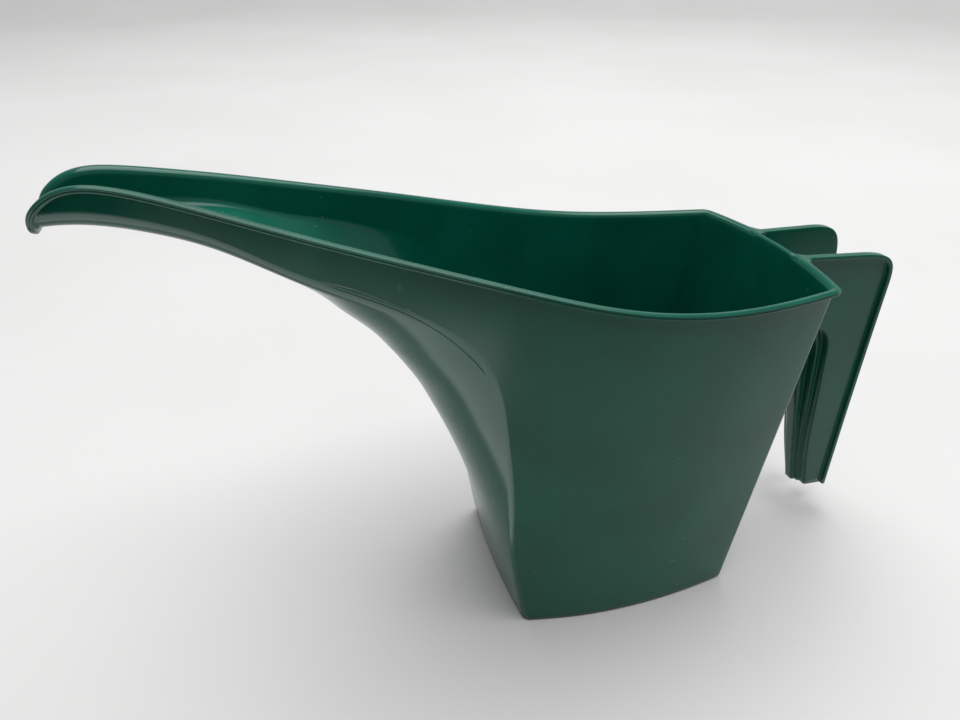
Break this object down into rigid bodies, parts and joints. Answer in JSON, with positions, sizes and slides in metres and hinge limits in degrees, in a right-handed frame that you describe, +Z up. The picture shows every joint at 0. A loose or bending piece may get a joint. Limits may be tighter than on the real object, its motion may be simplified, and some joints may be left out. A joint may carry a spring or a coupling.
{
  "type": "watering can",
  "caption": "Open-top moulded watering jug: tapered tank rising into a gutter spout, with a two-plate channel handle behind.",
  "frame": {"origin": "under the middle of the whole length, on the surface the can stands on", "axes": "-X towards the pouring lip, +X towards the handle, +Z up, Y = 0 is the mirror plane"},
  "size_m": [0.3468, 0.1134, 0.2124],
  "materials": {
    "green_pp_body": "satin moulded polypropylene, dark green",
    "green_pp_spout": "satin moulded polypropylene, dark green",
    "green_pp_rim": "satin moulded polypropylene, edges lightly worn",
    "green_pp_handle": "satin moulded polypropylene, dark green"
  },
  "bodies": {
    "root": {"spout_trough": "green_pp_spout", "tank_front_wall": "green_pp_body", "tank_side_wall_left": "green_pp_body", "tank_side_wall_right": "green_pp_body", "tank_rear_wall": "green_pp_body", "tank_floor": "green_pp_body", "rim_band": "green_pp_rim", "handle_plate_left": "green_pp_handle", "handle_plate_right": "green_pp_handle", "handle_edge_left": "green_pp_handle", "handle_edge_right": "green_pp_handle", "handle_nose_web": "green_pp_handle"}
  },
  "joints": []
}
